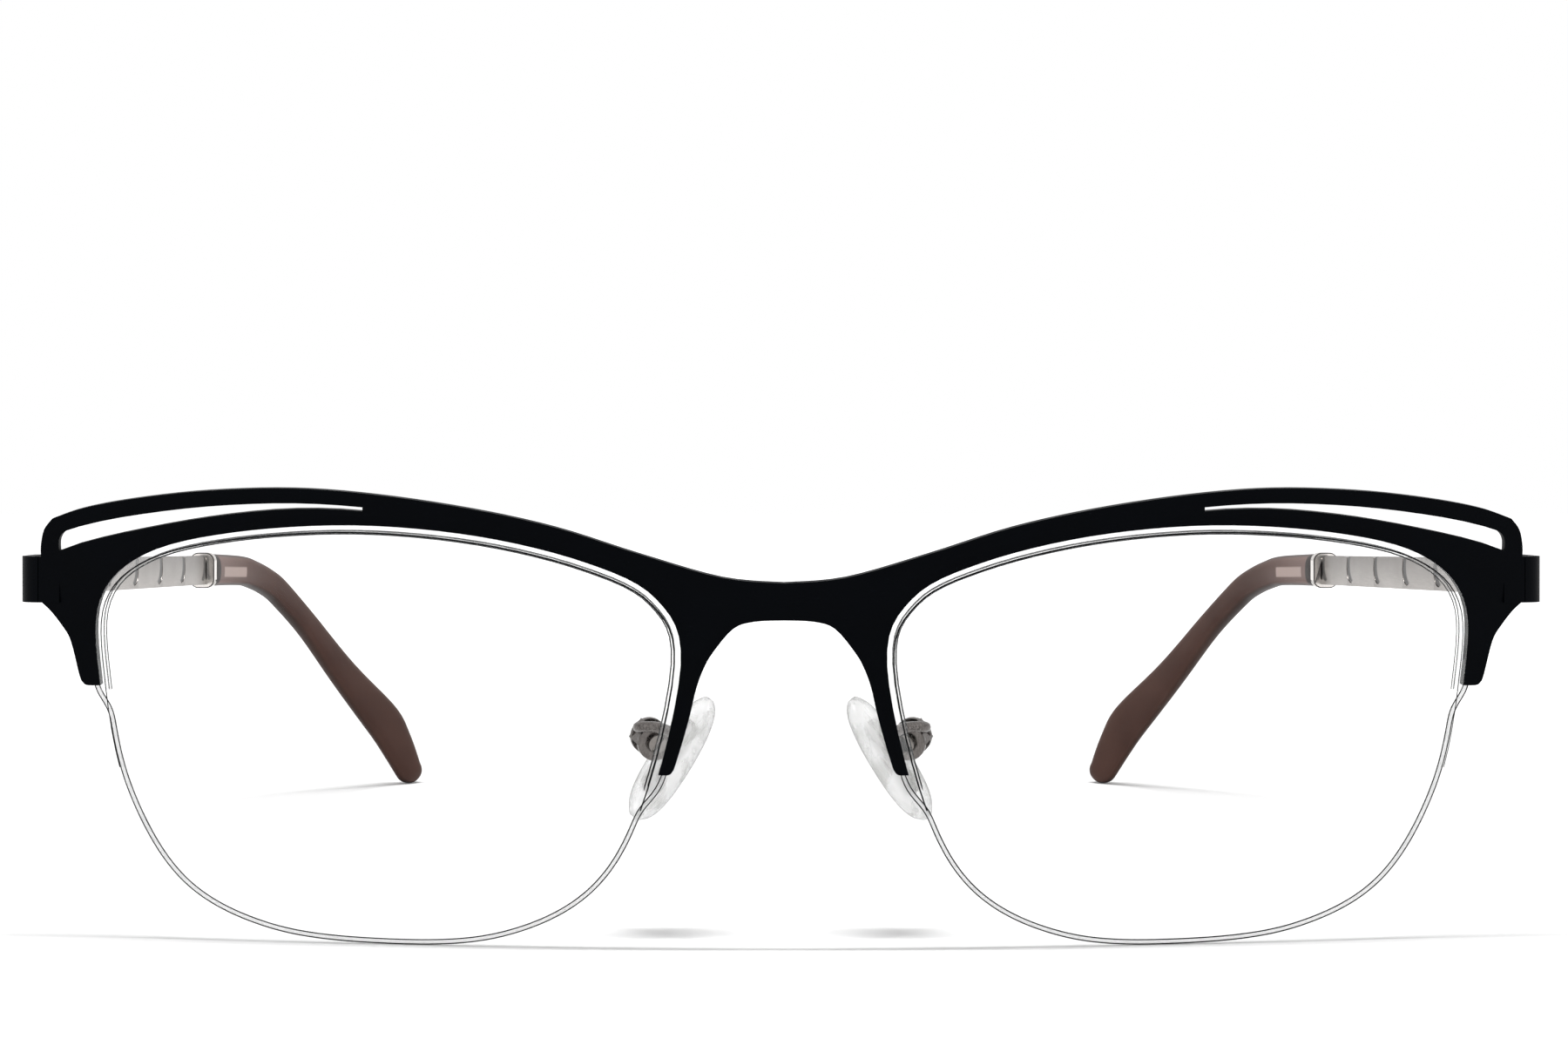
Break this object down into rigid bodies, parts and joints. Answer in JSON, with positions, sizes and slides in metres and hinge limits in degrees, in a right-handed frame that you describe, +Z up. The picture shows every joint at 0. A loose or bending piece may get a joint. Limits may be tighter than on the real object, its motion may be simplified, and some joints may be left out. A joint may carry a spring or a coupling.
{
  "type": "browline glasses",
  "caption": "Half-rim metal browline glasses with corded clear lenses, folding temples, silicone nose pads and brown tips.",
  "frame": {"origin": "on the table, under the middle of the outer box with the temples open", "axes": "+X to the right as seen from the front, +Y from the front towards the ears, +Z up"},
  "size_m": [0.139, 0.1412, 0.0412],
  "materials": {
    "black_enamel": "satin black enamel on a stamped sheet",
    "demo_lens": "clear, polished",
    "clear_liner": "clear, smooth",
    "nylon_cord": "clear nylon, smooth",
    "bare_steel": "bare, fine satin",
    "screw_steel": "bright",
    "temple_metal": "silver grey, satin",
    "collar_metal": "bright",
    "brown_acetate": "translucent dark brown, polished",
    "pad_core_plastic": "clear, hard",
    "clear_silicone": "clear, soft"
  },
  "bodies": {
    "front": {"brow_front": "black_enamel", "rim_liner_left": "clear_liner", "rim_liner_right": "clear_liner", "lens_left": "demo_lens", "lens_right": "demo_lens", "lens_cord_left": "nylon_cord", "lens_cord_right": "nylon_cord", "pad_arm_left": "bare_steel", "pad_arm_right": "bare_steel", "pad_screw_left": "screw_steel", "pad_screw_right": "screw_steel", "hinge_front_leaf_left": "bare_steel", "hinge_front_leaf_right": "bare_steel", "hinge_screw_left": "screw_steel", "hinge_screw_right": "screw_steel"},
    "temple_body_left": {"hinge_temple_leaf_left": "bare_steel", "temple_left": "temple_metal", "collar_left": "collar_metal", "temple_tip_left": "brown_acetate"},
    "temple_body_right": {"hinge_temple_leaf_right": "bare_steel", "temple_right": "temple_metal", "collar_right": "collar_metal", "temple_tip_right": "brown_acetate"},
    "pad_body_left": {"pad_core_left": "pad_core_plastic", "nose_pad_left": "clear_silicone"},
    "pad_body_right": {"pad_core_right": "pad_core_plastic", "nose_pad_right": "clear_silicone"}
  },
  "joints": [
    {"name": "temple_fold_left", "type": "hinge", "parent": "front", "child": "temple_body_left", "pos_m": [-0.0665, -0.05483, 0.03276], "axis": [0, 0, -1], "range_deg": [0, 82]},
    {"name": "temple_fold_right", "type": "hinge", "parent": "front", "child": "temple_body_right", "pos_m": [0.0665, -0.05483, 0.03276], "axis": [0, 0, 1], "range_deg": [0, 71]},
    {"name": "pad_rock_left", "type": "hinge", "parent": "front", "child": "pad_body_left", "pos_m": [-0.0118, -0.06074, 0.01819], "axis": [-0.3544, 0.9063, 0.2302], "range_deg": [-10, 10]},
    {"name": "pad_rock_right", "type": "hinge", "parent": "front", "child": "pad_body_right", "pos_m": [0.0118, -0.06074, 0.01819], "axis": [0.3544, 0.9063, 0.2302], "range_deg": [-10, 10]}
  ]
}
